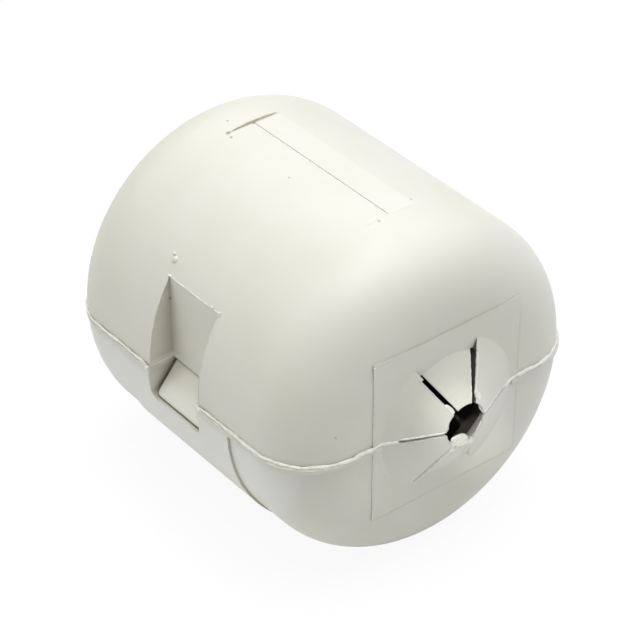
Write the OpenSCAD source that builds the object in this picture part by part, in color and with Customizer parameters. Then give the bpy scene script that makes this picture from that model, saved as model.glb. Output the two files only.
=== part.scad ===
// Clip-on ferrite bead: a round two-half case that snaps shut around a cable.
// Each half holds one half of a split ferrite core, and the two halves share
// a thin hinge web at the back and a snap latch at the front.
// Frame: X runs along the cable, -Y is the latch side, Z is up.
// The origin is the middle of the flat that the case rests on. Units are mm.

/* [Case] */
// Outside diameter of the round case
body_diameter = 30; // [26:0.5:44]
// Length of the case between its end faces
body_length = 32.2; // [28:0.2:60]
// Rounding where the round side turns into an end face
end_round = 5.5; // [3:0.1:6.5]
// Wall thickness of both halves
wall = 1.5; // [1.2:0.1:2]
// Gap between the rims of the closed halves
parting_gap = 0.1; // [0.04:0.02:0.3]
// Width of the marking flat on top and of the resting flat below
flat_width = 5.25; // [3:0.25:8]
// Length of the marking flat
marking_length = 17.5; // [8:0.5:20]
// Width of the groove that runs along the middle of the marking flat
marking_groove = 0.2; // [0.1:0.05:0.4]
// Border of the square end pad outside the petal ring
pad_border = 0.7; // [0.3:0.1:1.2]
// Extra border of the end pad at its top
pad_top = 0.45; // [0:0.05:0.8]
// Height of the end pad above the end face
pad_raise = 0.12; // [0.06:0.02:0.4]
// Diameter of the gate pip above the latch
pip_diameter = 0.7; // [0.4:0.1:1.2]
// Distance of the gate pip above the latch recess
pip_lift = 1.35; // [0.8:0.05:3]

/* [Rim ledge] */
// How far the lower rim stands proud at the +X end
ledge_end = 0.3; // [0.1:0.05:0.5]
// How far the lower rim stands proud along the latch side
ledge_side = 0.3; // [0.1:0.05:0.5]
// How far the lower rim stands proud where its ledge runs out on the hinge side
ledge_faint = 0.05; // [0.02:0.01:0.1]
// Distance over which the ledge fades back into the wall
ledge_fade = 1.4; // [1:0.1:3]

/* [Cable grip] */
// Diameter of the ring of petals
petal_ring = 13.6; // [11:0.1:16]
// Hole left between the petal tips
grip_hole = 3.9; // [2:0.1:6]
// Height of the petal tips above the end pad
petal_rise = 2.2; // [1:0.1:3.5]
// Diameter from which the side petals rise
side_foot = 13.4; // [10:0.1:13.5]
// Diameter from which the middle petals rise
middle_foot = 11.2; // [9:0.1:13.5]
// Thickness of the ring that carries the petals
petal_thickness = 0.8; // [0.6:0.05:1.2]
// Thickness of the petals at their tips
tip_thickness = 0.25; // [0.2:0.05:0.5]
// Width of the seat that joins this ring to the end wall
petal_seat = 0.45; // [0.3:0.05:1]
// How far the ring reaches inwards past the feet of the petals
petal_lap = 0.12; // [0.06:0.02:0.4]
// Width of the slots between petals
slot_width = 0.45; // [0.3:0.05:0.8]
// Width of the slots along the parting line
seam_slot = 0.25; // [0.2:0.05:0.6]
// Angle between the two slots of one half, degrees
middle_petal = 57; // [40:1:70]
// Turn of the middle petal away from upright, degrees
petal_turn = 3; // [0:1:10]
// Solid rim left outside the slots
slot_rim = 1.1; // [0.6:0.05:2]
// Solid rim left outside the slots along the parting line
seam_rim = 1.4; // [0.8:0.05:2.5]

/* [Ferrite core] */
// Radial thickness of the ferrite
core_wall = 4.4; // [3:0.1:5]
// Free space at each end of the core
core_end_gap = 0.3; // [0.1:0.1:0.6]
// Chamfer on the outer parting edges that the cradle ribs hook over
core_chamfer = 0.8; // [0.4:0.1:1.2]
// Thickness of the cradle ribs
rib_thickness = 1.2; // [0.8:0.1:2]
// Distance of the cradle ribs from the middle
rib_offset = 8; // [6.5:0.5:9]

/* [Latch] */
// Width of the recess in the front
recess_width = 6.6; // [5:0.2:10]
// Depth of the recess behind the round side
recess_depth = 2.3; // [1.8:0.1:3]
// How far the recess reaches below the parting line
recess_below = 3.1; // [2.6:0.1:4]
// Rounding of the lower corners of the recess and of the push ramp in it
recess_round = 0.6; // [0.3:0.1:1]
// Thickness of the side and floor walls around the recess
recess_cheek = 1; // [0.8:0.1:1.6]
// Thickness of the recess wall above the catch
back_wall = 0.75; // [0.6:0.05:1]
// Thickness of the catch at the foot of the recess wall
catch_wall = 1.3; // [1.2:0.05:1.6]
// Height of the catch
catch_height = 1.5; // [1:0.1:1.8]
// Height of the barb on the tongue
barb_height = 1.3; // [1:0.1:1.4]
// Thickness of the springy tongue
tongue_thickness = 0.9; // [0.7:0.1:1.2]
// Gap on each side between tongue and recess
tongue_side_gap = 0.35; // [0.2:0.05:0.6]
// Running gap between tongue and catch
latch_gap = 0.2; // [0.1:0.05:0.3]
// Room behind the tongue for it to spring back
spring_room = 0.5; // [0.4:0.05:1]
// Width of the latch block on the lower half
block_width = 14.8; // [10:0.2:18]
// Height of the latch block above the round side
block_raise = 0.2; // [0.1:0.05:0.4]
// Angle of the latch block down the side, degrees
block_angle = 70; // [40:5:80]

/* [Hinge web] */
// Length of the hinge web along the case
web_length = 14; // [8:0.5:18]
// Thickness of the hinge web
web_thickness = 0.4; // [0.3:0.05:0.6]
// Height of the hinge web across the parting line
web_height = 3; // [2:0.2:5]

/* [Hidden] */
// Facets of a full turn in the preview
$fn = 96;
// Margin by which cutters and joined solids run past a face
eps = 0.3;
// Node to draw, or all of them

// Half of the gap between the rims
half_gap = parting_gap / 2;
// Radius of the case
body_r = body_diameter / 2;
// End face of the case
end_x = body_length / 2;
// Inside radius of the case
inner_r = body_r - wall;
// Height of the cable axis and parting line above the resting flat
axis_z = sqrt(pow(body_r, 2) - pow(flat_width / 2, 2));

// Distances from the axis to the faces of the latch, outermost first
recess_back = body_r - recess_depth;
undercut_face = recess_back - back_wall;
catch_face = recess_back - catch_wall;
barb_face = undercut_face - latch_gap;
tongue_out = catch_face - latch_gap;
tongue_in = tongue_out - tongue_thickness;
// Half width of the recess, of the tongue in it and of the walls around it
recess_half = recess_width / 2;
tongue_half = recess_half - tongue_side_gap;
cheek_half = recess_half + recess_cheek;
// Heights on the tongue above the parting line
barb_foot = catch_height + latch_gap;
tongue_top = barb_foot + barb_height;
// Root of the tongue, a third of the way into the wall
tongue_root = sqrt(pow(inner_r + wall / 3, 2) - pow(tongue_in, 2));

// Core sizes follow from the room that the latch leaves
core_r = tongue_in - spring_room;
bore_r = core_r - core_wall;
core_length = body_length - 2 * wall - 2 * core_end_gap;

// Petal sizes, from the ring inwards and from the end face outwards
grip_r = grip_hole / 2;
petal_r = petal_ring / 2;
collar_r = petal_r - petal_seat;
lap_r = min(side_foot, middle_foot) / 2 - petal_lap;
pad_half = petal_r + pad_border;
petal_x = end_x + pad_raise;
collar_x = petal_x - petal_thickness;
tip_x = petal_x + petal_rise;
// Angle that half a slot takes at the ring
slot_spread = asin(slot_width / petal_ring);
// Directions of the slots of the upper half, degrees from the hinge side
slot_angles = [
    0,
    90 + petal_turn - middle_petal / 2,
    90 + petal_turn + middle_petal / 2,
    180,
];

// Middle of the rounded plan corners of the case
corner_x = end_x - end_round;
corner_y = body_r - end_round;

// Colours of the preview
shell_colour = [0.87, 0.86, 0.81];
core_colour = [0.2, 0.19, 0.18];

// Puts a shape that is built around the cable axis in its place
module on_axis() {
    translate([0, 0, axis_z]) children();
}

// Extrudes a (Y, Z) outline along X between two stations
module along_x(from, to) {
    translate([from, 0, 0]) rotate([90, 0, 90]) linear_extrude(height = to - from) children();
}

// Spins a (radius, X) outline about the cable axis
module around_x() {
    rotate([0, 90, 0]) rotate_extrude() children();
}

// A box given by its two opposite corners
module block(low, high) {
    translate(low) cube(high - low);
}

// Outline of a round bar with rounded ends, for spinning about X
module bar_outline(r, length, fillet) {
    difference() {
        translate([0, -length / 2]) square([r, length]);
        for (side = [-1, 1]) scale([1, side]) translate([r - fillet, length / 2 - fillet]) {
            difference() {
                square(fillet + eps);
                circle(fillet);
            }
        }
    }
}

// Everything on the upper side of the parting line, or on the lower side
module half(side) {
    reach = body_length + body_diameter;
    shift = side > 0 ? half_gap : -half_gap - reach;
    intersection() {
        children();
        translate([-reach / 2, -reach / 2, shift]) cube(reach);
    }
}

// Solid outer form of the case, with a pad on each end that follows its rounding
module case_form() {
    around_x() bar_outline(body_r, body_length, end_round);
    intersection() {
        around_x() bar_outline(body_r, 2 * petal_x, end_round);
        for (side = [-1, 1]) scale([side, 1, 1]) {
            block([end_x - wall / 2, -pad_half, -pad_half], [body_length, pad_half, pad_half + pad_top]);
        }
    }
}

// Room inside the case, with the round openings in its ends
module case_room() {
    around_x() bar_outline(inner_r, body_length - 2 * wall, end_round - wall);
    around_x() translate([0, -collar_x]) square([collar_r, 2 * collar_x]);
    around_x() translate([0, -petal_x - eps]) square([lap_r, 2 * (petal_x + eps)]);
}

// Petals of one half on both ends, before their slots are cut
module petals(side) {
    for (end = [-1, 1]) scale([end, 1, 1]) {
        petal(side * slot_angles[0], side * slot_angles[1], side_foot / 2);
        petal(side * (slot_angles[1] + slot_spread), side * (slot_angles[2] - slot_spread), middle_foot / 2);
        petal(side * slot_angles[2], side * slot_angles[3], side_foot / 2);
    }
}

// One petal on the +X end, between two directions: a thin cone that rises from its foot to its tip
module petal(from, to, foot_r) {
    spread = abs(to - from) / 2;
    root_r = lap_r + petal_lap / 2;
    root_x = petal_x - petal_thickness / 2;
    rotate([(from + to) / 2, 0, 0]) intersection() {
        around_x() polygon([
            [grip_r, tip_x],
            [foot_r, petal_x],
            [foot_r, root_x],
            [root_r, root_x],
            [grip_r, tip_x - tip_thickness],
        ]);
        along_x(collar_x, tip_x + eps) polygon([
            [0, 0],
            [petal_ring, -petal_ring * tan(spread)],
            [petal_ring, petal_ring * tan(spread)],
        ]);
    }
}

// Slots between the petals of one half and along its parting line
module petal_slots(side) {
    for (angle = slot_angles) {
        on_seam = angle == 0 || angle == 180;
        width = on_seam ? seam_slot : slot_width;
        rotate([side * angle, 0, 0]) along_x(-tip_x - eps, tip_x + eps) {
            translate([0, -width / 2]) square([petal_r - (on_seam ? seam_rim : slot_rim), width]);
        }
    }
}

// Outline of one half core, seen along the cable and without its bore
module core_outline(side) {
    scale([1, side]) difference() {
        circle(core_r);
        translate([-core_r - eps, -core_r - eps]) square([2 * (core_r + eps), core_r + eps]);
        for (hand = [-1, 1]) scale([hand, 1]) polygon([
            [core_r - core_chamfer, -eps],
            [core_r - core_chamfer, 0],
            [core_r + eps, core_chamfer + eps],
            [core_r + eps, -eps],
        ]);
    }
}

// Ribs that hold one half core and hook over its chamfered edges
module cradle_ribs(side) {
    for (end = [-1, 1]) along_x(end * rib_offset - rib_thickness / 2, end * rib_offset + rib_thickness / 2) {
        difference() {
            circle(inner_r + wall / 2);
            core_outline(side);
            scale([1, -side]) translate([-body_r, 0]) square([body_diameter, body_r]);
            translate([-core_r + core_chamfer, -core_chamfer]) {
                square([2 * (core_r - core_chamfer), 2 * core_chamfer]);
            }
        }
    }
}

// Cross-section of the rim ledge, outwards from the middle of a plan corner
module ledge_section() {
    foot = end_round - wall + eps;
    polygon([
        [foot, -half_gap],
        [end_round, -half_gap],
        [end_round, -half_gap - ledge_end],
        [foot, -ledge_fade],
    ]);
}

// One rounded corner of the rim ledge, turned from one heading to another
module ledge_corner(x, y, from, to) {
    translate([x, y, 0]) rotate([0, 0, from]) rotate_extrude(angle = to - from) ledge_section();
}

// One straight stretch of the rim ledge that faces along a heading and runs to its left
module ledge_run(x, y, heading, length) {
    translate([x, y, 0]) rotate([0, 0, heading]) rotate([90, 0, 0]) {
        translate([0, 0, -length]) linear_extrude(height = length) ledge_section();
    }
}

// Lower rim, which stands proud at the +X end and along the latch side
module rim_ledge() {
    front_x = corner_x + ledge_end;
    front_y = corner_y + ledge_side;
    back_y = corner_y + ledge_faint;
    far_x = ledge_end - corner_x;
    ledge_corner(front_x, -front_y, -90, 0);
    ledge_corner(front_x, back_y, 0, 90);
    ledge_corner(far_x, -front_y, -180, -90);
    ledge_run(front_x, -front_y, 0, front_y - petal_r);
    ledge_run(front_x, petal_r, 0, back_y - petal_r);
    ledge_run(far_x, -front_y, -90, 2 * corner_x);
}

// Seat of the hinge web in the back of both halves
module web_form() {
    half_length = web_length / 2;
    half_height = web_height / 2;
    block([-half_length, body_r - web_thickness, -half_height], [half_length, body_r, half_height]);
}

// Lower half of the case with the springy latch tongue and the latch block
module lower_shell() {
    color(shell_colour) on_axis() {
        difference() {
            union() {
                half(-1) difference() {
                    case_form();
                    case_room();
                }
                half(-1) petals(-1);
                half(-1) latch_block();
                cradle_ribs(-1);
                rim_ledge();
                latch_floor();
            }
            petal_slots(-1);
            recess_opening();
            web_form();
            resting_cut();
        }
        latch_tongue();
    }
}

// Band on the lower half that carries the latch
module latch_block() {
    reach = 2 * body_r;
    along_x(-block_width / 2, block_width / 2) intersection() {
        difference() {
            circle(body_r + block_raise);
            circle(inner_r + wall / 2);
        }
        polygon([
            [0, 0],
            [-reach, 0],
            [-reach, -reach],
            [-reach * cos(block_angle), -reach * sin(block_angle)],
        ]);
    }
}

// Walls around the lower part of the latch recess, before the recess is cut
module latch_floor() {
    intersection() {
        case_form();
        block(
            [-cheek_half, -body_r, -recess_below - recess_cheek],
            [cheek_half, -tongue_out - latch_gap, -half_gap]
        );
    }
}

// Extrudes an (X, Z) outline outwards on the latch side between two distances from the axis
module latch_side(from, to) {
    translate([0, -from, 0]) rotate([90, 0, 0]) linear_extrude(height = to - from) children();
}

// Outline that reaches down from a top edge to two rounded lower corners
module hanging_outline(half_width, top, bottom) {
    difference() {
        translate([-half_width, bottom]) square([2 * half_width, top - bottom]);
        for (hand = [-1, 1]) scale([hand, 1]) translate([half_width - recess_round, bottom + recess_round]) {
            difference() {
                translate([0, -recess_round - eps]) square(recess_round + eps);
                circle(recess_round);
            }
        }
    }
}

// Lower part of the latch recess, open to the rim
module recess_opening() {
    latch_side(tongue_out, body_r + block_raise + eps) hanging_outline(recess_half, eps, -recess_below);
}

// Springy tongue: root in the wall, push ramp in the recess, barb above the rim
module latch_tongue() {
    ramp_foot = -recess_below + latch_gap;
    ramp_out = body_r - 2 * latch_gap;
    rotate([0, 0, 180]) along_x(-tongue_half, tongue_half) polygon([
        [tongue_in, -tongue_root],
        [tongue_in, tongue_top],
        [tongue_out, tongue_top],
        [barb_face, barb_foot + latch_gap],
        [barb_face, barb_foot],
        [tongue_out, barb_foot],
        [tongue_out, -tongue_root],
    ]);
    intersection() {
        rotate([0, 0, 180]) along_x(-tongue_half, tongue_half) polygon([
            [tongue_in, -latch_gap],
            [recess_back - latch_gap, -latch_gap],
            [ramp_out, ramp_foot + latch_gap],
            [ramp_out, ramp_foot],
            [tongue_in, ramp_foot],
        ]);
        latch_side(tongue_in, body_r) hanging_outline(tongue_half, 0, ramp_foot);
    }
}

// Cut that leaves the flat on which the case rests
module resting_cut() {
    block([-body_length, -body_r, -body_diameter], [body_length, body_r, -axis_z]);
}

// Upper half of the case with the marking flat and the latch catch
module upper_shell() {
    color(shell_colour) on_axis() difference() {
        union() {
            half(1) difference() {
                case_form();
                case_room();
                marking_cut();
            }
            half(1) petals(1);
            cradle_ribs(1);
            latch_catch();
            gate_pip();
        }
        petal_slots(1);
        block([-recess_half, -body_r - eps, -eps], [recess_half, -recess_back, body_r]);
        web_form();
    }
}

// Flat on top with a fine groove along its middle
module marking_cut() {
    half_length = marking_length / 2;
    half_groove = marking_groove / 2;
    block([-half_length, -flat_width, axis_z], [half_length, flat_width, body_diameter]);
    block([-half_length, -half_groove, axis_z - half_groove], [half_length, half_groove, axis_z + eps]);
}

// Walls around the upper part of the recess, with the catch at their foot
module latch_catch() {
    intersection() {
        case_form();
        union() {
            block([-cheek_half, -body_r, half_gap], [cheek_half, -undercut_face, body_r]);
            block([-recess_half, -recess_back - eps, half_gap], [recess_half, -catch_face, catch_height]);
        }
    }
}

// Mould gate pip beside the top of the recess
module gate_pip() {
    angle = acos(recess_back / body_r) + pip_lift * 180 / (PI * body_r);
    sunk = pip_diameter / 4;
    rotate([-angle, 0, 0]) translate([-recess_half - pip_diameter / 3, sunk - body_r, 0]) {
        sphere(pip_diameter / 2);
    }
}

// One half of the split ferrite core
module core_half(side) {
    color(core_colour) on_axis() along_x(-core_length / 2, core_length / 2) difference() {
        core_outline(side);
        circle(bore_r);
    }
}

module lower_core() {
    core_half(-1);
}

module upper_core() {
    core_half(1);
}

// Thin web that joins the two halves at the back
module hinge_web() {
    color(shell_colour) on_axis() web_form();
}

lower_shell();
upper_shell();
lower_core();
upper_core();
hinge_web();
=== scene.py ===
"""Looks of a clip-on ferrite bead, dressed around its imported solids.

Sizes in the classes are millimetres in the part's own frame: X along the cable, -Y towards the latch, Z up.
"""

from __future__ import annotations

import logging
import math
from collections.abc import Callable, Sequence
from dataclasses import dataclass
from enum import Enum
from typing import Any

import bpy
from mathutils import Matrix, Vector


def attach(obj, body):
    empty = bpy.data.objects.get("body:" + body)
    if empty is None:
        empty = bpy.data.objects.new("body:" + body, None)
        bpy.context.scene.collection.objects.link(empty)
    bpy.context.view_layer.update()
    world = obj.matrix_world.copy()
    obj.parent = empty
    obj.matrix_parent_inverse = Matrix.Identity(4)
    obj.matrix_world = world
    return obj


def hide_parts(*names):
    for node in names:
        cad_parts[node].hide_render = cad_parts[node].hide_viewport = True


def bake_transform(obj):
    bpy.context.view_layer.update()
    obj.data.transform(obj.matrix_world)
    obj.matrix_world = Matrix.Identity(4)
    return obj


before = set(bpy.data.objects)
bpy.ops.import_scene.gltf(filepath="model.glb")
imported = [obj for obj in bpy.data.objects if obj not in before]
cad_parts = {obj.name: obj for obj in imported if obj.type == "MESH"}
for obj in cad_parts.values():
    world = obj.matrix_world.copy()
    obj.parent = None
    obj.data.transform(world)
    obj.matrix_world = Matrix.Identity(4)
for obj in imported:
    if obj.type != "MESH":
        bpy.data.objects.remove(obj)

LOG = logging.getLogger("ferrite_bead")
MM = 0.001
AXIS_Z = 14.7685

Number = "Sock | float"
Place = tuple[float, float, float]
Step = tuple[float, float, float, float]
Colour = tuple[float, float, float, float]
Pair = tuple[float, float]
Fade = tuple[float, float]
Band = tuple[float, float, float]
Noise = tuple[float, int, float]
Outline = tuple[Pair, ...]


class Body(Enum):
    """The two halves of the case that pieces ride on."""

    LOWER = "lower_half"
    UPPER = "upper_half"


class Slot(Enum):
    """Material slots of the record."""

    NYLON = "case_nylon"
    FERRITE = "ferrite"


class Pick(Enum):
    """What a selection takes."""

    VERT = "VERT"
    EDGE = "EDGE"
    FACE = "FACE"


class Sock:
    """A shader socket whose operators add Math nodes to its tree."""

    def __init__(self, shader: Shader, socket: bpy.types.NodeSocket) -> None:
        """Wraps a socket of a shader's node tree."""
        self.shader = shader
        self.socket = socket

    def _math(self, operation: str, *values: Number) -> Sock:
        """Adds one Math node.

        Args:
            operation: the Math node's operation.
            values: its inputs in order.

        Returns:
            The node's result.
        """
        return self.shader.node("Math", {"operation": operation}, dict(enumerate(values)))

    def __add__(self, other: Number) -> Sock:
        """Sum."""
        return self._math("ADD", self, other)

    def __sub__(self, other: Number) -> Sock:
        """Difference."""
        return self._math("SUBTRACT", self, other)

    def __mul__(self, other: Number) -> Sock:
        """Product."""
        return self._math("MULTIPLY", self, other)

    def __rsub__(self, other: Number) -> Sock:
        """Reflected difference."""
        return self._math("SUBTRACT", other, self)

    __radd__ = __add__
    __rmul__ = __mul__

    def __abs__(self) -> Sock:
        """Absolute value."""
        return self._math("ABSOLUTE", self)

    def at_most(self, other: Number) -> Sock:
        """The smaller of two values."""
        return self._math("MINIMUM", self, other)

    def at_least(self, other: Number) -> Sock:
        """The larger of two values."""
        return self._math("MAXIMUM", self, other)

    def ramp(self, low: float, high: float) -> Sock:
        """Smooth step from 0 at low to 1 at high."""
        settings = {"interpolation_type": "SMOOTHSTEP"}
        return self.shader.node("MapRange", settings, {"Value": self, "From Min": low, "From Max": high})

    def band(self, centre: float, half: float, soft: float) -> Sock:
        """1 within half of centre, fading to 0 over soft."""
        return 1 - abs(self - centre).ramp(half, half + soft)


class Shader:
    """Node tree of one material."""

    def __init__(self, name: str) -> None:
        """Starts a material with a Principled surface.

        Args:
            name: the material's name.
        """
        self.material = bpy.data.materials.new(name)
        self.material.use_nodes = True
        self.tree = self.material.node_tree
        self.tree.nodes.clear()
        self.output = self.tree.nodes.new("ShaderNodeOutputMaterial")

    def node(self, kind: str, settings: dict[str, Any] | None = None, sockets: dict | None = None,
             out: int | str = 0) -> Sock:
        """Adds a node of any type.

        Args:
            kind: the node's type without its ShaderNode prefix.
            settings: properties of the node, set before its sockets.
            sockets: values or links by socket name or number.
            out: which output to hand back.

        Returns:
            The chosen output.
        """
        made = self.tree.nodes.new("ShaderNode" + kind)
        for key, value in (settings or {}).items():
            setattr(made, key, value)
        for key, value in (sockets or {}).items():
            if isinstance(value, Sock):
                self.tree.links.new(value.socket, made.inputs[key])
            else:
                made.inputs[key].default_value = value
        return Sock(self, made.outputs[out])

    def place(self) -> Sock:
        """Object coordinates in millimetres."""
        where = self.node("TexCoord", out="Object")
        return self.node("VectorMath", {"operation": "SCALE"}, {0: where, "Scale": 1 / MM})

    def split(self, vector: Sock) -> tuple[Sock, Sock, Sock]:
        """X, Y and Z of a vector."""
        parts = self.node("SeparateXYZ", None, {0: vector}).socket.node
        return tuple(Sock(self, parts.outputs[i]) for i in range(3))

    def noise(self, where: Sock, scale: float, detail: int, rough: float) -> Sock:
        """Noise of about one value for each 1/scale millimetres."""
        sockets = {"Vector": where, "Scale": scale, "Detail": detail, "Roughness": rough}
        return self.node("TexNoise", None, sockets)

    def openness(self, reach: float) -> Sock:
        """How open the surface is within a reach in millimetres."""
        return self.node("AmbientOcclusion", {"samples": 6}, {"Distance": reach * MM}, "AO")

    def bump(self, strength: float, depth: float, height: Sock, **sockets: Sock) -> Sock:
        """Normal of a surface with a fine relief of a depth in millimetres."""
        return self.node("Bump", None, {"Strength": strength, "Distance": depth * MM, "Height": height, **sockets})

    def tint(self, factor: Number, low: Any, high: Any) -> Sock:
        """Colour between two others."""
        mixed = self.node("Mix", {"data_type": "RGBA"}, {0: factor, 6: low, 7: high}).socket.node
        return Sock(self, mixed.outputs[2])

    def surface(self, sockets: dict[str, Any]) -> None:
        """Ends the tree in a Principled surface with these sockets."""
        made = self.node("BsdfPrincipled", None, sockets)
        self.tree.links.new(made.socket, self.output.inputs["Surface"])


@dataclass(frozen=True)
class NylonFinish:
    """Satin moulded nylon, a little yellowed and paler along its edges, with painted light on its latch side and
    painted shade in its creases, its hollows, its slot walls and along the pad's top.

    A fade is where a mask starts and where it is full, and a band is a middle, a half width and the width of its soft
    edge. Shares are how strongly a mask counts, and pairs ending in _dirt or _mottle are its least value and what
    noise adds to it.
    """

    colour: Colour = (0.762, 0.76, 0.68, 1)
    aged: Colour = (0.742, 0.732, 0.638, 1)
    light_and_edge_pale: Colour = (0.87, 0.868, 0.82, 1)
    painted_hollow_shade: Colour = (0.46, 0.44, 0.33, 1)
    painted_crease_shade: Colour = (0.30, 0.265, 0.18, 1)
    ochre: Colour = (0.52, 0.46, 0.27, 1)
    dark_marks: Colour = (0.16, 0.125, 0.075, 1)
    painted_slot_shade: Colour = (0.04, 0.034, 0.025, 1)
    white: Colour = (0.95, 0.95, 0.925, 1)
    shade: Colour = (0.63, 0.63, 0.565, 1)
    cloud_noise: Noise = (0.11, 3, 0.55)
    grain_noise: Noise = (3.2, 2, 0.6)
    ripple_noise: Noise = (0.32, 2, 0.5)
    blot_noise: Noise = (2.4, 3, 0.6)
    speck_noise: Noise = (1.3, 2, 0.5)
    roughness: float = 0.46
    cloud_rough: float = 0.14
    grain_rough: float = 0.1
    grain_height: float = 0.35
    ripple_height: float = 1.4
    relief: Pair = (0.35, 0.02)
    ior: float = 1.46
    edge_radius: float = 0.12
    crease_reach: float = 0.8
    hollow_reach: float = 4
    ageing: Fade = (0.35, 0.7)
    ends: Fade = (15.9, 16.1)
    seam: Band = (0, 0.3, 0.3)
    crown: Fade = (28.6, 28.9)
    latch_side: Fade = (13.0, 14.2)
    near_seam: Fade = (13.4, 14.4)
    latch_light_share: float = 0.65
    pad_ends: Fade = (15.5, 15.7)
    pad_top: Band = (7.8, 0.5, 0.2)
    upward: Fade = (0.6, 0.8)
    turned: Fade = (0.02, 0.2)
    exposed: Fade = (0.5, 0.85)
    edge_share: float = 0.7
    pad_edge_cut: float = 0.8
    chalk_share: float = 0.95
    hollows: Fade = (0.2, 0.7)
    hollow_share: float = 0.85
    creases: Fade = (0.4, 0.95)
    crease_shade_mottle: Pair = (0.35, 0.6)
    shade_free_share: float = 0.85
    crease_shade_limit: float = 0.8
    slot_share: float = 0.9
    not_radial: Fade = (0.35, 0.5)
    not_lengthwise: Fade = (0.3, 0.45)
    petal_ends: Fade = (15.3, 15.5)
    slot_reach: Band = (4.3, 2.2, 0.2)
    above_seam: Fade = (0.35, 0.45)
    blots: Fade = (0.38, 0.62)
    flat_top: Fade = (29.1, 29.3)
    step_x: Band = (-8.75, 0.06, 0.16)
    step_y: Band = (0, 2.55, 0.2)
    step_dirt: Pair = (0.12, 0.3)
    pad_right_y: Band = (7.5, 0.03, 0.07)
    pad_right_z: Band = (-2, 8, 1.5)
    pad_under_z: Band = (-7.5, 0.03, 0.07)
    pad_under_y: Band = (0, 7.4, 0.2)
    pad_over_z: Band = (7.95, 0.05, 0.07)
    pad_over_y: Band = (0, 7.5, 0.2)
    pad_over_share: float = 0.06
    pad_line_mottle: Pair = (0.12, 0.12)
    rare: Fade = (0.79, 0.82)
    rare_share: float = 0.4
    speck_share: float = 0.6
    speck_core: float = 0.25
    specks: tuple[Step, ...] = (
        (9.01, -1.3, 29.71, 0.17),
        (7.95, 2.84, 29.5, 0.15),
        (-0.44, -2.76, 29.51, 0.13),
        (-10.12, -1.61, 29.68, 0.14),
        (-2.08, -13.38, 21.55, 0.12),
        (-3.27, -12.7, 20.56, 0.2),
        (-8.75, -2.59, 29.54, 0.3),
        (-8.9, -1.46, 29.54, 0.22),
        (-8.9, -0.64, 29.54, 0.2),
        (-8.9, 0.25, 29.54, 0.18),
        (-8.1, -2.77, 29.54, 0.2),
    )
    chalk: tuple[Step, ...] = (
        (-3.42, -15.22, 14.62, 0.35),
        (-3.4, -15.22, 14.35, 0.35),
        (-3.38, -15.22, 14.1, 0.28),
        (3.6, -15.2, 14.65, 0.3),
    )

    def make(self) -> bpy.types.Material:
        """Builds the material.

        Returns:
            The finished material.
        """
        s = Shader("case_nylon")
        where = s.place()
        x, y, z = s.split(where)
        cloud = s.noise(where, *self.cloud_noise)
        grain = s.noise(where, *self.grain_noise)
        ripple = s.noise(where, *self.ripple_noise)
        rounded = s.node("Bevel", {"samples": 4}, {"Radius": self.edge_radius * MM})
        near, wide = s.openness(self.crease_reach), s.openness(self.hollow_reach)
        shade_free = abs(x).ramp(*self.ends).at_least((z - AXIS_Z).band(*self.seam)).at_least(z.ramp(*self.crown))
        pad_top = abs(x).ramp(*self.pad_ends) * (z - AXIS_Z).band(*self.pad_top)
        up = s.split(s.node("NewGeometry", out="True Normal"))[2].ramp(*self.upward)
        # Painted light: the latch side below the seam is made paler, as if more light fell on it.
        latch_side_light = (0 - y).ramp(*self.latch_side) * (1 - z.ramp(*self.near_seam))
        pale_edges = self.edges(s, rounded, near) * (1 - pad_top * self.pad_edge_cut)
        # Painted shade in the creases: darker where the surface is closed in, mottled by noise and kept off the ends,
        # seam and crown.
        least, more = self.crease_shade_mottle
        crease_shade = (1 - near).ramp(*self.creases) * (least + ripple * more) * (1 - shade_free * self.shade_free_share)
        ochre, specks = self.marks(s, where)
        base = s.tint(cloud.ramp(*self.ageing), self.colour, self.aged)
        for mask, colour in (
            # painted light on the latch side below the seam
            (latch_side_light * self.latch_light_share, self.light_and_edge_pale),
            (pale_edges * self.edge_share, self.light_and_edge_pale),
            (self.spots(s, where, self.chalk) * self.chalk_share, self.white),
            (pad_top * up, self.shade),
            # painted shade deep in the hollows, such as the latch recess
            ((1 - wide).ramp(*self.hollows) * (1 - shade_free) * self.hollow_share, self.painted_hollow_shade),
            # painted shade in the creases
            (crease_shade.at_most(self.crease_shade_limit), self.painted_crease_shade),
            (ochre, self.ochre),
            # painted shade on the slot walls
            (self.slots(s, where) * self.slot_share, self.painted_slot_shade),
            (specks, self.dark_marks),
        ):
            base = s.tint(mask, base, colour)
        rough = self.roughness + (cloud - 0.5) * self.cloud_rough + (grain - 0.5) * self.grain_rough
        bump = s.bump(*self.relief, grain * self.grain_height + ripple * self.ripple_height, Normal=rounded)
        s.surface({"Base Color": base, "Roughness": rough, "Normal": bump, "IOR": self.ior})
        return s.material

    def edges(self, s: Shader, rounded: Sock, near: Sock) -> Sock:
        """Mask of the outward edges, which are painted paler.

        Args:
            s: the shader.
            rounded: normal of the rounded surface.
            near: how open the surface is.

        Returns:
            The mask.
        """
        flat = s.node("NewGeometry", out="Normal")
        turn = s.node("VectorMath", {"operation": "DOT_PRODUCT"}, {0: rounded, 1: flat}, "Value")
        return (1 - turn).ramp(*self.turned) * near.ramp(*self.exposed)

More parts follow.
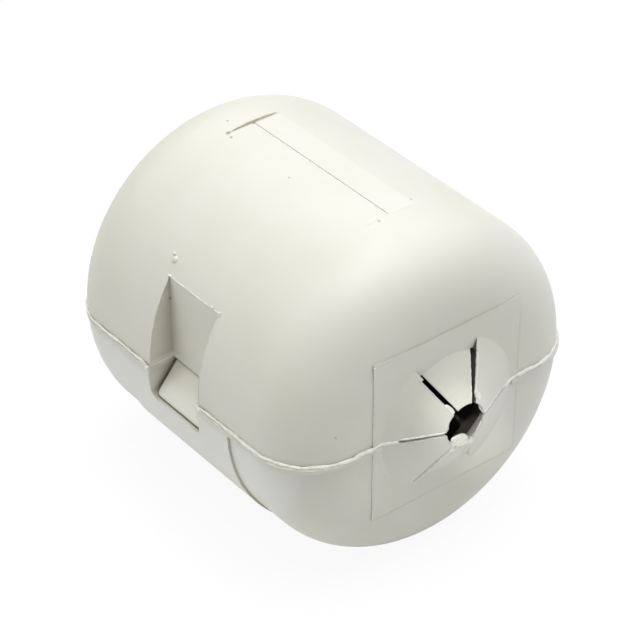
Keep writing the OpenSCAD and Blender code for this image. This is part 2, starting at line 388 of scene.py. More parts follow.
    def slots(self, s: Shader, where: Sock) -> Sock:
        """Mask of the walls of the slots between the petals, where shade is painted nearly black.

        Args:
            s: the shader.
            where: place on the part in millimetres.

        Returns:
            The mask.
        """
        x, _, z = s.split(where)
        facing = {"vector_type": "NORMAL", "convert_from": "WORLD", "convert_to": "OBJECT"}
        flat = s.node("VectorTransform", facing, {"Vector": s.node("NewGeometry", out="True Normal")}, "Vector")
        out = s.node("VectorMath", {"operation": "SUBTRACT"}, {0: where, 1: (0, 0, AXIS_Z)})
        out = s.node("VectorMath", {"operation": "MULTIPLY"}, {0: out, 1: (0, 1, 1)})
        far = s.node("VectorMath", {"operation": "LENGTH"}, {0: out}, "Value")
        out = s.node("VectorMath", {"operation": "NORMALIZE"}, {0: out})
        radial = abs(s.node("VectorMath", {"operation": "DOT_PRODUCT"}, {0: flat, 1: out}, "Value"))
        lengthwise = abs(s.split(flat)[0])
        wall = (1 - radial.ramp(*self.not_radial)) * (1 - lengthwise.ramp(*self.not_lengthwise))
        petal = abs(x).ramp(*self.petal_ends) * far.band(*self.slot_reach)
        return wall * petal * (z - AXIS_Z).ramp(*self.above_seam)

    def marks(self, s: Shader, where: Sock) -> tuple[Sock, Sock]:
        """Masks of old staining along the far step with a faint dark line along the pad's top edge, and of single
        specks with dark lines along the pad's right and lower edges.

        Args:
            s: the shader.
            where: place on the part in millimetres.

        Returns:
            The masks of the step's staining and of the specks and pad lines.
        """
        x, y, z = s.split(where)
        high = z - AXIS_Z
        end = abs(x).ramp(*self.ends)
        blot = s.noise(where, *self.blot_noise).ramp(*self.blots)
        least, more = self.step_dirt
        step = x.band(*self.step_x) * y.band(*self.step_y) * z.ramp(*self.flat_top) * (least + blot * more)
        # Dark lines along the pad's right, lower and top edges.
        right = y.band(*self.pad_right_y) * high.band(*self.pad_right_z)
        under = high.band(*self.pad_under_z) * y.band(*self.pad_under_y)
        over = high.band(*self.pad_over_z) * y.band(*self.pad_over_y)
        least, more = self.pad_line_mottle
        mask = s.noise(where, *self.speck_noise).ramp(*self.rare) * self.rare_share
        mask = mask.at_least(right.at_least(under) * end * (least + blot * more))
        mask = mask.at_least(self.spots(s, where, self.specks) * self.speck_share)
        return step.at_least(over * end * self.pad_over_share), mask

    def spots(self, s: Shader, where: Sock, places: Sequence[Step]) -> Sock:
        """Mask of soft round spots.

        Args:
            s: the shader.
            where: place on the part in millimetres.
            places: middle and radius of each spot.

        Returns:
            The mask.
        """
        mask = None
        for px, py, pz, size in places:
            apart = s.node("VectorMath", {"operation": "DISTANCE"}, {0: where, 1: (px, py, pz)}, "Value")
            spot = 1 - apart.ramp(size * self.speck_core, size)
            mask = spot if mask is None else mask.at_least(spot)
        return mask


@dataclass(frozen=True)
class FlashFinish:
    """Thin moulding flash: nylon that has gone nearly white where it is stretched."""

    colour: Colour = (0.90, 0.895, 0.85, 1)
    shade: Colour = (0.80, 0.79, 0.715, 1)
    fibre_noise: Noise = (2.2, 3, 0.6)
    fibres: Fade = (0.4, 0.68)
    roughness: Pair = (0.42, 0.2)
    relief: Pair = (0.4, 0.02)
    ior: float = 1.46

    def make(self) -> bpy.types.Material:
        """Builds the material.

        Returns:
            The finished material.
        """
        s = Shader("nylon_flash")
        where = s.place()
        fibre = s.noise(where, *self.fibre_noise)
        base = s.tint(fibre.ramp(*self.fibres), self.colour, self.shade)
        least, more = self.roughness
        bump = s.bump(*self.relief, fibre)
        s.surface({"Base Color": base, "Roughness": least + fibre * more, "Normal": bump, "IOR": self.ior})
        return s.material


@dataclass(frozen=True)
class FerriteFinish:
    """Sintered ferrite: dark, matt and slightly grainy."""

    colour: Colour = (0.14, 0.12, 0.092, 1)
    worn: Colour = (0.21, 0.18, 0.14, 1)
    grain_noise: Noise = (5, 4, 0.65)
    cloud_noise: Noise = (0.4, 2, 0.5)
    shares: Pair = (0.6, 0.4)
    wear: Fade = (0.4, 0.75)
    roughness: Pair = (0.5, 0.25)
    relief: Pair = (0.4, 0.03)

    def make(self) -> bpy.types.Material:
        """Builds the material.

        Returns:
            The finished material.
        """
        s = Shader("ferrite")
        where = s.place()
        grain = s.noise(where, *self.grain_noise)
        cloud = s.noise(where, *self.cloud_noise)
        fine, coarse = self.shares
        base = s.tint((grain * fine + cloud * coarse).ramp(*self.wear), self.colour, self.worn)
        least, more = self.roughness
        s.surface({"Base Color": base, "Roughness": least + grain * more, "Normal": s.bump(*self.relief, grain)})
        return s.material


class Bench:
    """Hand tools of the modelling bench. Pieces are in millimetres until they are finished."""

    even: float = 0.7
    along_normal: float = 0.3
    smooth_angle: float = 50

    @staticmethod
    def take(pieces: Sequence[bpy.types.Object]) -> None:
        """Selects these pieces alone and makes the first one active.

        Args:
            pieces: what is selected.
        """
        bpy.ops.object.select_all(action="DESELECT")
        for piece in pieces:
            piece.select_set(True)
        bpy.context.view_layer.objects.active = pieces[0]

    @staticmethod
    def begin(add: Callable[..., Any], name: str, **options: Any) -> bpy.types.Object:
        """Starts a piece from a primitive.

        Args:
            add: the operator that adds the primitive.
            name: the piece's name.
            options: size and place of the primitive.

        Returns:
            The new object, which alone is selected.
        """
        bpy.ops.object.select_all(action="DESELECT")
        add(**options)
        piece = bpy.context.object
        piece.name = piece.data.name = name
        bpy.ops.object.transform_apply(location=True, rotation=True, scale=True)
        return piece

    @staticmethod
    def pick(piece: bpy.types.Object, kind: Pick, test: Callable[[list[Vector]], bool]) -> None:
        """Selects in edit mode what passes a test.

        Args:
            piece: the piece.
            kind: vertices, edges or faces.
            test: takes the corner points of each of them.
        """
        bpy.ops.object.mode_set(mode="OBJECT")
        bpy.context.tool_settings.mesh_select_mode = tuple(kind is each for each in Pick)
        mesh = piece.data
        for group in (mesh.vertices, mesh.edges, mesh.polygons):
            group.foreach_set("select", [False] * len(group))
        points = [v.co.copy() for v in mesh.vertices]
        if kind is Pick.VERT:
            mesh.vertices.foreach_set("select", [test([p]) for p in points])
        else:
            group = mesh.edges if kind is Pick.EDGE else mesh.polygons
            group.foreach_set("select", [test([points[i] for i in item.vertices]) for item in group])
        bpy.ops.object.mode_set(mode="EDIT")

    @staticmethod
    def whole(piece: bpy.types.Object) -> None:
        """Selects all of a piece in edit mode."""
        Bench.pick(piece, Pick.VERT, lambda points: True)

    @staticmethod
    def roughen(piece: bpy.types.Object, amount: float, seed: int) -> None:
        """Moves the points of a piece at random.

        Args:
            piece: the piece.
            amount: how far.
            seed: which pattern.
        """
        Bench.whole(piece)
        bpy.ops.transform.vertex_random(offset=amount, uniform=Bench.even, normal=Bench.along_normal, seed=seed)
        bpy.ops.object.mode_set(mode="OBJECT")

    @staticmethod
    def modify(piece: bpy.types.Object, kind: str, **settings: Any) -> None:
        """Adds a modifier and applies it.

        Args:
            piece: the piece.
            kind: the modifier's type.
            settings: its values.
        """
        bpy.ops.object.mode_set(mode="OBJECT")
        made = piece.modifiers.new(kind.lower(), kind)
        for key, value in settings.items():
            setattr(made, key, value)
        bpy.ops.object.modifier_apply(modifier=made.name)

    @staticmethod
    def bead(name: str, path: Sequence[Step], seed: int, rough: float = 0.012) -> bpy.types.Object:
        """Lays a round bead along a path.

        Args:
            name: the piece's name.
            path: points of the bead with its radius at each.
            seed: pattern of its unevenness.
            rough: how uneven it is.

        Returns:
            The bead as a mesh.
        """
        piece = Bench.begin(bpy.ops.curve.primitive_nurbs_path_add, name)
        curve = piece.data
        curve.splines.clear()
        line = curve.splines.new("POLY")
        line.points.add(len(path) - 1)
        for point, (x, y, z, radius) in zip(line.points, path):
            point.co, point.radius = (x, y, z, 1), radius
        return Bench.swell(piece, seed, rough)

    @staticmethod
    def swell(piece: bpy.types.Object, seed: int, rough: float) -> bpy.types.Object:
        """Turns a curve with radii into a closed round bead.

        Args:
            piece: the curve.
            seed: pattern of its unevenness.
            rough: how uneven it is.

        Returns:
            The bead as a mesh.
        """
        curve = piece.data
        curve.dimensions, curve.bevel_depth, curve.bevel_resolution, curve.use_fill_caps = "3D", 1, 2, True
        bpy.ops.object.convert(target="MESH")
        piece = bpy.context.object
        Bench.roughen(piece, rough, seed)
        return piece

    @staticmethod
    def outward(piece: bpy.types.Object) -> None:
        """Turns the faces of a closed piece outwards.

        Args:
            piece: the piece.
        """
        Bench.whole(piece)
        bpy.ops.mesh.normals_make_consistent(inside=False)
        bpy.ops.object.mode_set(mode="OBJECT")

    @staticmethod
    def mirrored(piece: bpy.types.Object, name: str) -> bpy.types.Object:
        """Copies a piece to the far end.

        Args:
            piece: the piece at the near end.
            name: the copy's name.

        Returns:
            The copy, with its own mesh.
        """
        Bench.take([piece])
        bpy.ops.object.duplicate(linked=False)
        copy = bpy.context.object
        copy.name = copy.data.name = name
        copy.scale = (-1, 1, 1)
        bpy.ops.object.transform_apply(location=True, rotation=True, scale=True)
        Bench.outward(copy)
        return copy

    @staticmethod
    def join(pieces: Sequence[bpy.types.Object], name: str) -> bpy.types.Object:
        """Makes one piece of several.

        Args:
            pieces: what is joined.
            name: name of the whole.

        Returns:
            The joined piece.
        """
        Bench.take(pieces)
        bpy.ops.object.join()
        whole = bpy.context.object
        whole.name = whole.data.name = name
        return whole

    @staticmethod
    def finish(piece: bpy.types.Object, material: bpy.types.Material, slot: Slot, body: Body | None) -> None:
        """Scales a piece to metres, gives it its finish and hangs it on its body.

        Args:
            piece: the piece in millimetres.
            material: its finish.
            slot: the record's slot of that finish; not used.
            body: what it rides on, or None to hang it on neither half.
        """
        Bench.take([piece])
        piece.scale = (MM, MM, MM)
        bpy.ops.object.transform_apply(location=True, rotation=True, scale=True)
        bpy.ops.object.shade_smooth_by_angle(angle=math.radians(Bench.smooth_angle))
        piece.data.materials.clear()
        piece.data.materials.append(material)
        if body is not None:
            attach(piece, body.value)
        LOG.info("%s: %d faces", piece.name, len(piece.data.polygons))


@dataclass(frozen=True)
class Lamp:
    """A soft lamp that faces the part: place in metres, power in watts and colour of its light."""

    name: str
    place: Place
    power: float
    colour: Place


@dataclass
class Studio:
    """White floor, soft lamps and the camera."""

    azimuth: float = 51.458
    elevation: float = 36.27
    distance: float = 211.73
    aim_right: float = 0.032
    aim_up: float = -0.261
    lens: float = 142.8
    sensor: float = 36
    clip: float = 0.01
    lamp_size: float = 0.4
    lamps: tuple[Lamp, ...] = (
        Lamp("key", (0.0, -0.052, 0.612), 2.5, (1.0, 0.996, 0.997)),
        Lamp("back_right", (0.32, 0.185, 0.488), 1.15, (1.0, 1.0, 0.965)),
        Lamp("back", (0.0, 0.369, 0.488), 0.86, (0.877, 0.895, 1.0)),
        Lamp("back_left", (-0.32, 0.185, 0.488), 1.01, (0.835, 0.861, 1.0)),
        Lamp("left", (-0.36, -0.32, 0.33), 0.55, (1.0, 1.0, 0.932)),
        Lamp("low_right", (0.22, -0.55, 0.06), 0.22, (1.0, 0.975, 0.86)),
        Lamp("low_left", (-0.25, -0.54, 0.05), 0.42, (1.0, 0.99, 0.93)),
    )
    peep_aside: float = 9
    peep_above: float = 8
    peep_away: float = 0.2
    peep_power: float = 2.1
    peep_angle: float = 1.0
    peep_blend: float = 0.6
    peep_size: float = 0.0028
    hole_x: float = 18.4
    floor_size: float = 6
    floor_colour: Colour = (0.78, 0.785, 0.80, 1)
    floor_glow: float = 1.03
    glow_share: float = 0.9
    white: Colour = (1, 1, 1, 1)
    seen_strength: float = 1.0
    lit_strength: float = 0.01

    def build(self) -> None:
        """Makes the camera, floor, lamps and world."""
        self.camera()
        self.floor()
        for lamp in self.lamps:
            self.hang(lamp)
        self.peep()
        self.world()

    @staticmethod
    def away(azimuth: float, elevation: float) -> Vector:
        """Direction away from the part at an azimuth and an elevation in degrees."""
        a, e = math.radians(azimuth), math.radians(elevation)
        return Vector((math.sin(a) * math.cos(e), -math.cos(a) * math.cos(e), math.sin(e)))

    @staticmethod
    def put(data: bpy.types.ID, place: Vector, facing: Vector) -> bpy.types.Object:
        """Puts a camera or lamp into the scene.

        Args:
            data: the camera or lamp.
            place: where it goes, in metres.
            facing: which way it looks.

        Returns:
            The new object.
        """
        made = bpy.data.objects.new(data.name, data)
        bpy.context.collection.objects.link(made)
        made.location = place
        made.rotation_euler = facing.to_track_quat("-Z", "Y").to_euler()
        return made

    def camera(self) -> None:
        """Places the camera."""
        a = math.radians(self.azimuth)
        back = self.away(self.azimuth, self.elevation)
        right = Vector((math.cos(a), math.sin(a), 0))
        up = back.cross(right)
        aim = Vector((0, 0, AXIS_Z)) + right * self.aim_right + up * self.aim_up
        data = bpy.data.cameras.new("camera")
        data.lens, data.sensor_width, data.clip_start = self.lens, self.sensor, self.clip
        bpy.context.scene.camera = self.put(data, (aim + back * self.distance) * MM, -back)

    def floor(self) -> None:
        """Lays the white floor."""
        bpy.ops.mesh.primitive_plane_add(size=self.floor_size)
        floor = bpy.context.object
        floor.name = "floor"
        s = Shader("floor_white")
        path = s.node("LightPath").socket.node
        seen = Sock(s, path.outputs["Is Camera Ray"]).at_least(Sock(s, path.outputs["Is Glossy Ray"]))
        seen = seen.at_least(Sock(s, path.outputs["Is Transmission Ray"]))
        paint = s.node("BsdfDiffuse", None, {"Color": self.floor_colour})
        glow = s.node("Emission", None, {"Color": self.white, "Strength": self.floor_glow})
        mixed = s.node("MixShader", None, {0: seen * self.glow_share, 1: paint, 2: glow})
        s.tree.links.new(mixed.socket, s.output.inputs["Surface"])
        floor.data.materials.append(s.material)

    def hang(self, lamp: Lamp) -> None:
        """Hangs a soft lamp that faces the part.

        Args:
            lamp: what is hung.
        """
        data = bpy.data.lights.new(lamp.name, "AREA")
        data.size, data.energy, data.color = self.lamp_size, lamp.power, lamp.colour
        place = Vector(lamp.place)
        self.put(data, place, Vector((0, 0, AXIS_Z * MM)) - place)

    def peep(self) -> None:
        """Aims a narrow lamp from beside the camera into the cable hole."""
        data = bpy.data.lights.new("peep", "SPOT")
        data.energy, data.shadow_soft_size = self.peep_power, self.peep_size
        data.spot_size, data.spot_blend = math.radians(self.peep_angle), self.peep_blend
        away = self.away(self.azimuth - self.peep_aside, self.elevation + self.peep_above)
        self.put(data, Vector((self.hole_x, 0, AXIS_Z)) * MM + away * self.peep_away, -away)

    def world(self) -> None:
        """Makes surroundings that the camera sees as white and that light the part only a little."""
        world = bpy.data.worlds.new("surroundings")
        bpy.context.scene.world = world
        world.use_nodes = True
        tree = world.node_tree
        lit, seen = tree.nodes["Background"], tree.nodes.new("ShaderNodeBackground")
        for each, strength in ((lit, self.lit_strength), (seen, self.seen_strength)):
            each.inputs["Strength"].default_value = strength
            each.inputs["Color"].default_value = self.white
        path = tree.nodes.new("ShaderNodeLightPath")
        mix = tree.nodes.new("ShaderNodeMixShader")
        tree.links.new(path.outputs["Is Camera Ray"], mix.inputs[0])
        tree.links.new(lit.outputs[0], mix.inputs[1])
        tree.links.new(seen.outputs[0], mix.inputs[2])
        tree.links.new(mix.outputs[0], tree.nodes["World Output"].inputs["Surface"])


@dataclass
class Case:
    """The two moulded halves and the split core, as packed."""

    def dress(self, nylon: bpy.types.Material, ferrite: bpy.types.Material) -> None:
        """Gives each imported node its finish.

        Args:
            nylon: finish of the mouldings.
            ferrite: finish of the core.
        """
        for name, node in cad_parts.items():
            node.data.materials.clear()
            node.data.materials.append(ferrite if "core" in name else nylon)
            LOG.info("%s dressed", name)


@dataclass
class HingeWeb:
    """Thin film across the parting line at the back, which bends in the real case as it opens; this film is hung on
    neither half and stays as modelled.
    """

    length: float = 14
    thickness: float = 0.4
    height: float = 3
    middle_y: float = 14.8
    waist: float = 0.08
    waist_height: float = 0.5
    rim: float = 0.1
    rim_cuts: int = 2
    cuts: int = 27
    held: float = 0.2

    def build(self, nylon: bpy.types.Material) -> None:
        """Models the web, hangs it on neither half and hides the imported web.

        Args:
            nylon: its finish.
        """
        web = Bench.begin(bpy.ops.mesh.primitive_cube_add, "hinge_film", size=1,
                          location=(0, self.middle_y, AXIS_Z), scale=(self.length, self.thickness, self.height))
        half = self.height / 2
        Bench.pick(web, Pick.EDGE, lambda p: abs(p[0].x - p[1].x) > self.length / 2)
        bpy.ops.mesh.bevel(offset=self.rim, segments=self.rim_cuts)
        Bench.pick(web, Pick.EDGE, lambda p: abs(p[0].z - p[1].z) > half)
        bpy.ops.mesh.subdivide(number_cuts=self.cuts)
        for face in (-1, 1):
            Bench.pick(web, Pick.VERT, lambda p: abs(p[0].z - AXIS_Z) < self.waist_height
                       and (p[0].y - self.middle_y) * face > 0)
            bpy.ops.transform.translate(value=(0, -face * self.waist, 0))
        Bench.outward(web)
        Bench.finish(web, nylon, Slot.NYLON, None)
        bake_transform(web)
        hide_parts("hinge_web")


@dataclass
class RimFlash:
    """Uneven white flash that closes the parting line."""

    far_x: float = -16.06
    near_x: float = 16.25
    latch_y: float = -15.12
    reach: float = -15.29
    hinge_y: float = 14.94
    lift: float = 0.04
    corner: float = 5.62
    recess_half: float = 3.38
    petal_half: float = 6.75
    web_half: float = 7.2
    end_x: float = 15
    corner_cuts: int = 20
    side_cuts: int = 48
    side_least: float = 2
    wobble: float = 0.035
    wobble_seed: int = 4
    rough: float = 0.03
    rough_seed: int = 7
    tip_girth: float = 0.35
    tip_grow: float = 0.3
    fine: float = 0.112
    fatter: float = 0.053
    fat_from: float = 3
    fat_over: float = 9
    back_girth: float = 0.055
    back_from: float = 11
    back_over: float = 2.5
    drift: Pair = (0.9, 1.3)
    slow_wave: Place = (0.15, 2.3, 1.3)
    slow_bend: float = 1.1
    fast_wave: Pair = (0.1, 7.7)

    def build(self, flash: bpy.types.Material) -> None:
        """Models the flash on the lower rim.

        Args:
            flash: its finish.
        """
        rim = Bench.begin(bpy.ops.mesh.primitive_plane_add, "rim_flash", size=1)
        Bench.whole(rim)
        bpy.ops.transform.resize(value=(self.near_x - self.far_x, self.hinge_y - self.latch_y, 1))
        middle = ((self.near_x + self.far_x) / 2, (self.hinge_y + self.latch_y) / 2, AXIS_Z + self.lift)
        bpy.ops.transform.translate(value=middle)
        bpy.ops.mesh.bevel(affect="VERTICES", offset=self.corner, segments=self.corner_cuts)
        bpy.ops.mesh.delete(type="ONLY_FACE")
        Bench.pick(rim, Pick.EDGE, lambda p: (p[0] - p[1]).length > self.side_least)
        bpy.ops.mesh.subdivide(number_cuts=self.side_cuts)
        Bench.pick(rim, Pick.VERT, self.open_at)
        bpy.ops.mesh.delete(type="VERT")
        Bench.roughen(rim, self.wobble, self.wobble_seed)
        bpy.ops.object.convert(target="CURVE")
        rim = bpy.context.object
        for line in rim.data.splines:
            last = len(line.points) - 1
            for i, point in enumerate(line.points):
                fade = min(1.0, self.tip_girth + self.tip_grow * min(i, last - i))
                point.radius = self.girth(point.co.x, point.co.y) * fade
        rim = Bench.swell(rim, self.rough_seed, self.rough)
        Bench.pick(rim, Pick.VERT, lambda p: p[0].y < self.reach)
        bpy.ops.transform.resize(value=(1, 0, 1), center_override=(0, self.reach, 0))
        bpy.ops.object.mode_set(mode="OBJECT")
        Bench.finish(rim, flash, Slot.NYLON, Body.LOWER)

    def open_at(self, points: list[Vector]) -> bool:
        """Whether the rim is open at a point: at the recess, the petals or the hinge.

        Args:
            points: the point, alone in a list.

        Returns:
            True where there is no flash.
        """
        x, y = points[0].x, points[0].y
        at_petals = abs(y) < self.petal_half and abs(x) > self.end_x
        return at_petals or abs(x) < (self.recess_half if y < 0 else self.web_half)

    def girth(self, x: float, y: float) -> float:
        """Radius of the flash: fat at the near end, fine at the back.

        Args:
            x: place along the cable.
            y: place across it.

        Returns:
            The radius.
        """
        near = min(1.0, max(0.0, (x - self.fat_from) / self.fat_over))
        back = min(1.0, max(0.0, (y - self.back_from) / self.back_over))
        along = self.drift[0] * x + self.drift[1] * y
        size, pace, bend = self.slow_wave
        slow = size * math.sin(pace * along + bend * math.sin(self.slow_bend * along))
        uneven = 1 + slow + self.fast_wave[0] * math.sin(self.fast_wave[1] * along)
        front = self.fine + self.fatter * near * near * (3 - 2 * near)
        return (front * (1 - back) + self.back_girth * back) * uneven


@dataclass(frozen=True)
class Tear:
    """Torn part of a petal tip: (Y, Z) points about the axis and the pattern of its unevenness."""

    name: str
    seed: int
    points: Outline
    fat: float = 0.06


@dataclass
class PetalTrim:
    """White edges, closed slots and torn tips of the petals."""

    ring_x: float = 16.22
    rise: float = 2.2
    hole: float = 1.95
    side_foot: float = 6.7
    middle_foot: float = 5.6
    slot_half: float = 0.225
    pad_half: float = 7.5
    left_slot: float = 121.5
    right_slot: float = 64.5
    parting: float = 180
    steps: int = 24
    end_girth: float = 0.45
    end_grow: float = 0.25
    wave: Pair = (0.14, 1.7)
    clear: Pair = (1.15, 0.03)
    beside: float = 0.04
    tear_sink: float = 0.05
    tear_rough: float = 0.03
    tip_lift: float = 0.03
    tip_clear: float = 0.09
    tip_inset: float = 0.16
    tip_dome: float = 0.03
    tip_thick: float = 0.2
    tip_rough: float = 0.02
    pad_r: float = 0.06
    pad_out: float = 0.02
    pad_start: float = 0.12
    pad_step_up: float = 0.32
    pad_step_down: float = 0.3
    pad_rough: float = 0.006
    upper_tears: tuple[Tear, ...] = (
        Tear("tear_a", 15, ((1.38, 1.84), (1.55, 1.3), (1.64, 0.75), (1.95, 0.3), (2.25, 0.08))),
        Tear("tear_b", 16, ((-1.05, 1.75), (-1.35, 1.42), (-1.6, 1.1), (-1.72, 0.7), (-1.75, 0.3)), 0.05),
    )
    upper_tips: tuple[Tear, ...] = (
        Tear("tip_a", 17, ((-1.79, 2.5), (-1.43, 2.42), (-1.06, 1.98), (-1.05, 1.55), (-1.45, 1.4), (-1.75, 1.5))),
        Tear("tip_b", 18, ((1.2, 2.0), (1.25, 2.75), (1.6, 2.4), (2.0, 2.0), (1.8, 1.45), (1.5, 1.65))),
    )
    lower_tears: tuple[Tear, ...] = (
        Tear("tear_c", 22, ((-1.86, -0.3), (-1.75, -0.75), (-1.45, -1.15), (-1.35, -1.5))),
    )
    lower_tips: tuple[Tear, ...] = (
        Tear("tip_c", 23, ((-1.3, -0.78), (-0.58, -0.84), (0.02, -0.9), (0.56, -1.5), (0.43, -1.97), (-0.39, -2.45),
                           (-0.99, -2.6), (-1.36, -1.63))),
        Tear("tip_d", 24, ((1.17, -2.2), (1.37, -1.3), (1.8, -0.6), (2.2, -0.22), (2.36, -0.5), (1.99, -1.58),
                           (1.72, -2.8))),
    )

    def level(self, r: float, foot: float) -> float:
        """X of a petal's outer face at a distance from the axis."""
        return self.ring_x + max(0.0, foot - max(r, self.hole)) * self.rise / (foot - self.hole)

    def along(self, name: str, seed: int, angle: float, side: float, span: Pair, foot: float, fat: float,
              sink: float = 0.0) -> bpy.types.Object:
        """Lays a bead along a slot.

        Args:
            name: the bead's name.
            seed: pattern of its unevenness.
            angle: direction of the slot from the hinge side, in degrees.
            side: distance from the slot's middle line.
            span: from and to which distance from the axis.
            foot: foot radius of the petal that carries the bead.
            fat: radius of the bead.
            sink: how far it lies below the petal's face.

        Returns:
            The bead.
        """
        c, s = math.cos(math.radians(angle)), math.sin(math.radians(angle))
        highest = self.ring_x + self.rise - fat * self.clear[0] - self.clear[1]
        path = []
        for i in range(self.steps + 1):
            r = span[0] + (span[1] - span[0]) * i / self.steps
            end = min(1.0, self.end_girth + self.end_grow * min(i, self.steps - i))
            uneven = 1 + self.wave[0] * math.sin(i * self.wave[1] + angle)
            x = min(self.level(r, foot) - sink, highest)
            path.append((x, c * r - s * side, AXIS_Z + s * r + c * side, fat * end * uneven))
        return Bench.bead(name, path, seed)

    def build(self, flash: bpy.types.Material, nylon: bpy.types.Material) -> None:
        """Models the trim of both halves at both ends.

        Args:
            flash: finish of edges and torn tips.
            nylon: finish of what closes the lower slots.
        """
        left, right, parting = self.left_slot, self.right_slot, self.parting
        side, middle, edge = self.side_foot, self.middle_foot, self.slot_half + self.beside
        upper = [
            self.along("edge_a", 11, left, edge, (2.0, 6.0), side, 0.055),
            self.along("edge_b", 12, right, edge, (2.0, 5.5), middle, 0.045),
            self.along("edge_c", 13, parting, -0.17, (1.7, 5.4), side, 0.1),
            self.along("edge_h", 19, right, -0.26, (2.3, 6.6), side, 0.12, 0.1),
            self.along("edge_d", 14, 0, 0.16, (2.1, 6.2), side, 0.06),
            *(self.torn_edge(tear) for tear in self.upper_tears),
            *(self.flake(tip, foot) for tip, foot in zip(self.upper_tips, (middle, side))),
        ]
        lower = [
            self.along("edge_e", 21, parting, 0.2, (1.9, 5.3), side, 0.05),
            self.along("edge_k", 33, -left, -0.12, (2.7, 6.4), side, 0.08, -0.03),
            self.along("edge_f", 27, parting, 0, (5.45, 7.3), side, 0.15),
            self.along("edge_g", 28, 0, 0, (5.6, 7.3), side, 0.15),
            *(self.torn_edge(tear) for tear in self.lower_tears),
            *(self.flake(tip, foot) for tip, foot in zip(self.lower_tips, (middle, side))),
        ]
        closed = [
            self.along("slot_a", 25, -left, 0, (2.1, 6.2), side, 0.27, 0.12),
            self.along("slot_b", 26, -right, 0, (2.1, 6.2), side, 0.27, 0.12),
            self.along("slot_c", 31, -left, 0.3, (2.1, 5.5), middle, 0.3, 0.12),
            self.along("slot_d", 32, -right, -0.3, (2.1, 5.5), middle, 0.3, 0.12),
        ]
        upper.append(self.pad_edge("edge_i", 29, self.pad_start, self.pad_step_up))
        lower.append(self.pad_edge("edge_j", 30, -self.pad_start, -self.pad_step_down))
        for name, parts, finish, body in (("petal_edges_upper", upper, flash, Body.UPPER),
                                          ("petal_edges_lower", lower, flash, Body.LOWER),
                                          ("petal_webs_lower", closed, nylon, Body.LOWER)):
            near = Bench.join(parts, name + "_near")
            far = Bench.mirrored(near, name + "_far")
            Bench.finish(near, finish, Slot.NYLON, body)
            Bench.finish(far, finish, Slot.NYLON, body)

    def pad_edge(self, name: str, seed: int, start: float, step: float) -> bpy.types.Object:
        """Lays a fine bead along the pad's edge on the latch side.

        Args:
            name: the bead's name.
            seed: pattern of its unevenness.
            start: where it starts above the axis.
            step: from one point to the next.

        Returns:
            The bead.
        """
        x, y = self.ring_x - self.pad_r, -self.pad_half - self.pad_out
        path = [(x, y, AXIS_Z + start + step * i, self.pad_r) for i in range(self.steps + 1)]
        return Bench.bead(name, path, seed, self.pad_rough)

    def torn_edge(self, tear: Tear) -> bpy.types.Object:
        """Lays a bead along the torn edge of a petal tip.

        Args:
            tear: its points and radius.

        Returns:
            The bead.
        """
        path = []
        for y, z in tear.points:
            x = self.level(math.hypot(y, z), self.side_foot) - tear.fat - self.tear_sink
            path.append((x, y, AXIS_Z + z, tear.fat))
        return Bench.bead(tear.name, path, tear.seed, self.tear_rough)

    def flake(self, tip: Tear, foot: float) -> bpy.types.Object:
        """Models a torn flake of a petal tip.

        Args:
            tip: its outline.
            foot: foot radius of the petal that it lies on.

        Returns:
            The flake.
        """
        flake = Bench.begin(bpy.ops.mesh.primitive_circle_add, tip.name, vertices=len(tip.points), radius=1,
                            fill_type="NGON", rotation=(0, math.pi / 2, 0))
        starts = [v.co.copy() for v in flake.data.vertices]
        highest = self.ring_x + self.rise - self.tip_clear
        for i, (y, z) in enumerate(reversed(tip.points)):
            x = min(self.level(math.hypot(y, z), foot) + self.tip_lift, highest)
            Bench.pick(flake, Pick.VERT, lambda p: (p[0] - starts[i]).length < 1e-4)
            bpy.ops.transform.translate(value=Vector((x, y, AXIS_Z + z)) - starts[i])
        Bench.pick(flake, Pick.FACE, lambda p: True)
        bpy.ops.mesh.inset(thickness=self.tip_inset)
        bpy.ops.transform.translate(value=(self.tip_dome, 0, 0))
        Bench.modify(flake, "SOLIDIFY", thickness=self.tip_thick, offset=-1)
        Bench.outward(flake)
        Bench.modify(flake, "SUBSURF", levels=2, render_levels=2)
        Bench.roughen(flake, self.tip_rough, tip.seed)
        return flake


@dataclass(frozen=True)
class Burr:
    """One ragged burr: its middle about the axis, half sizes and the pattern of its unevenness."""

    name: str
    place: Place
    size: Place
    seed: int


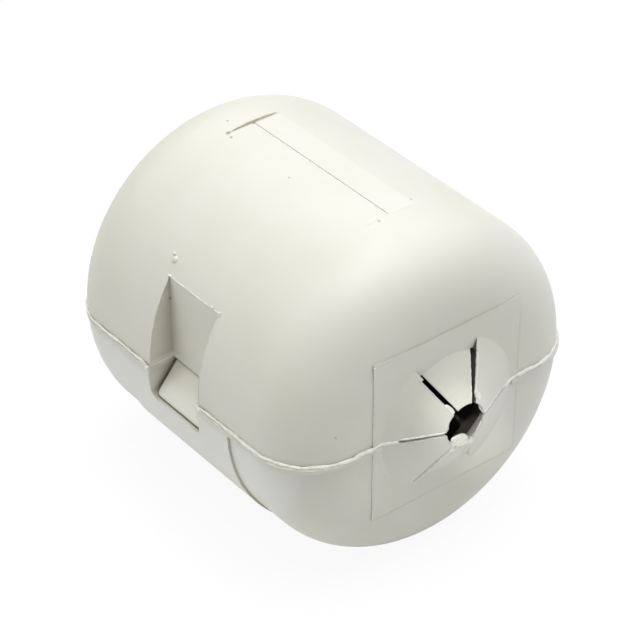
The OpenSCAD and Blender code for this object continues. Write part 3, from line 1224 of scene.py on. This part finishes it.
@dataclass
class LatchBurrs:
    """Flash around the latch recess, burrs on the seam and a fill for the top groove."""

    case_r: float = 15
    recess_half: float = 3.3
    recess_y: float = -12.7
    groove_half: float = 8.6
    groove_z: float = 29.43
    groove_r: float = 0.09
    groove_rough: float = 0.006
    steps: int = 24
    lip_start: float = 0.15
    lip_r: float = 0.04
    lip_fall_r: float = 0.035
    lip_out: float = 0.01
    lip_rough: float = 0.02
    seam_x: float = -3.29
    seam_step: float = 0.1
    seam_r: float = 0.055
    ragged: float = 0.45
    upper_burrs: tuple[Burr, ...] = (
        Burr("burr_a", (3.42, -12.72, 8.0), (0.15, 0.13, 0.25), 32),
        Burr("burr_b", (2.45, -12.72, 8.12), (0.16, 0.07, 0.08), 33),
        Burr("burr_c", (-3.86, -11.72, 9.42), (0.13, 0.11, 0.13), 34),
        Burr("burr_d", (-3.2, -12.72, 8.05), (0.25, 0.08, 0.09), 35),
    )
    lower_burrs: tuple[Burr, ...] = (
        Burr("burr_e", (-3.45, -15.08, -0.35), (0.13, 0.11, 0.45), 36),
        Burr("burr_f", (3.5, -15.12, -0.1), (0.2, 0.1, 0.12), 37),
        Burr("burr_g", (16.34, -7.34, -0.22), (0.1, 0.17, 0.14), 38),
        Burr("burr_h", (16.34, 7.77, -0.08), (0.1, 0.2, 0.13), 39),
        Burr("burr_i", (16.36, 6.5, -0.3), (0.06, 0.05, 0.3), 40),
        Burr("burr_j", (9.2, -15.1, -0.06), (0.3, 0.1, 0.1), 41),
    )

    def build(self, flash: bpy.types.Material) -> None:
        """Models the lip and the burrs.

        Args:
            flash: their finish.
        """
        upper = [self.lip(), *(self.burr(each) for each in self.upper_burrs)]
        lower = [self.burr(each) for each in self.lower_burrs]
        seam = [(self.seam_x, self.seam_step * i - self.case_r, AXIS_Z, self.seam_r) for i in range(self.steps)]
        lower.append(Bench.bead("recess_seam", seam, 42))
        groove = [(self.groove_half * (i / self.steps - 1), 0.0, self.groove_z, self.groove_r)
                  for i in range(2 * self.steps + 1)]
        fill = Bench.bead("groove_fill", groove, 43, self.groove_rough)
        Bench.finish(fill, flash, Slot.NYLON, Body.UPPER)
        Bench.finish(Bench.join(upper, "burrs_upper"), flash, Slot.NYLON, Body.UPPER)
        Bench.finish(Bench.join(lower, "burrs_lower"), flash, Slot.NYLON, Body.LOWER)

    def lip(self) -> bpy.types.Object:
        """Lays a bead around the recess in the upper half.

        Returns:
            The bead.
        """
        top = math.sqrt(self.case_r ** 2 - self.recess_y ** 2)
        heights = [self.lip_start + (top - self.lip_start) * i / self.steps for i in range(self.steps + 1)]
        rise = [(-self.recess_half, -math.sqrt(self.case_r ** 2 - h * h), AXIS_Z + h, self.lip_r) for h in heights]
        across = [(self.recess_half * (2 * i / self.steps - 1), self.recess_y - self.lip_out, AXIS_Z + top, self.lip_r)
                  for i in range(1, self.steps)]
        fall = [(self.recess_half, y, z, self.lip_fall_r) for _, y, z, _ in reversed(rise)]
        return Bench.bead("recess_lip", rise + across + fall, 31, self.lip_rough)

    def burr(self, burr: Burr) -> bpy.types.Object:
        """Models one ragged burr.

        Args:
            burr: its place and size.

        Returns:
            The burr as a mesh.
        """
        x, y, z = burr.place
        made = Bench.begin(bpy.ops.mesh.primitive_ico_sphere_add, burr.name, subdivisions=2, radius=1,
                           location=(x, y, AXIS_Z + z), scale=burr.size)
        Bench.roughen(made, min(burr.size) * self.ragged, burr.seed)
        Bench.modify(made, "SUBSURF", levels=1, render_levels=1)
        return made


def main() -> None:
    """Builds the scene in order and reports each piece."""
    logging.basicConfig(level=logging.INFO, format="%(message)s")
    bpy.context.scene.view_settings.view_transform = "Standard"
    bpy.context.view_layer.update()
    Studio().build()
    nylon, ferrite, flash = NylonFinish().make(), FerriteFinish().make(), FlashFinish().make()
    Case().dress(nylon, ferrite)
    HingeWeb().build(nylon)
    RimFlash().build(flash)
    PetalTrim().build(flash, nylon)
    LatchBurrs().build(flash)


if __name__ == "__main__":
    main()
